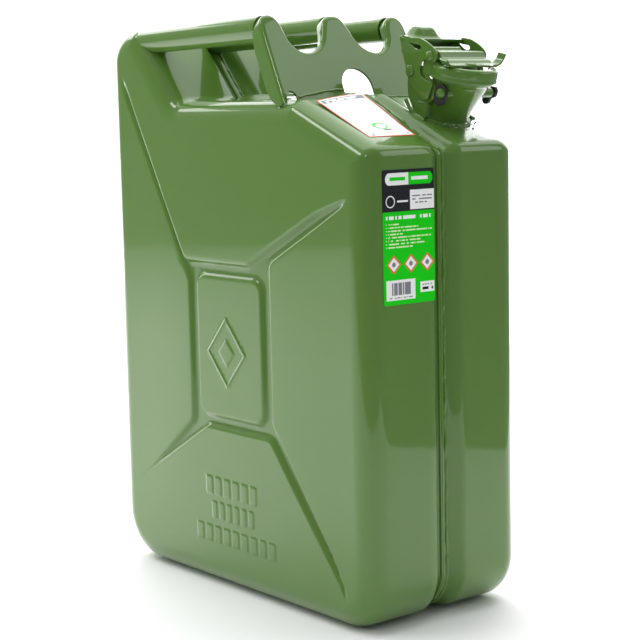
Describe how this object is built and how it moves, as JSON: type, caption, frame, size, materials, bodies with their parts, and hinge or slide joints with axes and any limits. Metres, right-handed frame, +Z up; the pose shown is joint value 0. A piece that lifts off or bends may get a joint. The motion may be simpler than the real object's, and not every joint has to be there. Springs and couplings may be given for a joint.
{
  "type": "fuel can",
  "caption": "Pressed steel fuel can with three carrying bars, a pressed cross on each side, and a hinged cam lever cap on a leaning neck.",
  "frame": {"origin": "middle of the footprint, on the floor", "axes": "+X towards the front with the filler neck, +Y towards the side that the neck stands on, +Z up"},
  "size_m": [0.3461, 0.16, 0.4708],
  "materials": {
    "green_enamel": "gloss",
    "black_plastic": "satin",
    "black_rubber": "matte",
    "printed_film": "satin"
  },
  "bodies": {
    "can": {"right_shell": "green_enamel", "left_shell": "green_enamel", "seam_weld": "green_enamel", "right_grip": "green_enamel", "middle_grip": "green_enamel", "left_grip": "green_enamel", "handle_support": "green_enamel", "support_weld": "green_enamel", "neck": "green_enamel", "neck_weld": "green_enamel", "hinge_bracket": "green_enamel", "hinge_pin": "green_enamel", "right_latch_stud": "green_enamel", "left_latch_stud": "green_enamel", "stud_keeper": "black_plastic", "front_label": "printed_film", "shoulder_label": "printed_film"},
    "lever": {"cam_lever": "green_enamel", "cap_rivets": "green_enamel"},
    "cap": {"cap_pan": "green_enamel", "cap_bridge": "green_enamel", "cap_gasket": "black_rubber"}
  },
  "joints": [
    {"name": "lever_hinge", "type": "hinge", "parent": "can", "child": "lever", "pos_m": [0.11504, 0.045, 0.424], "axis": [0, -1, 0], "range_deg": [0, 105]},
    {"name": "cap_pivot", "type": "hinge", "parent": "lever", "child": "cap", "pos_m": [0.13816, 0.045, 0.43462], "axis": [0, -1, 0], "range_deg": [0, 6.3]}
  ],
  "couplings": [
    {"joint": "cap_pivot", "follows": "lever_hinge", "ratio": 0.06}
  ]
}
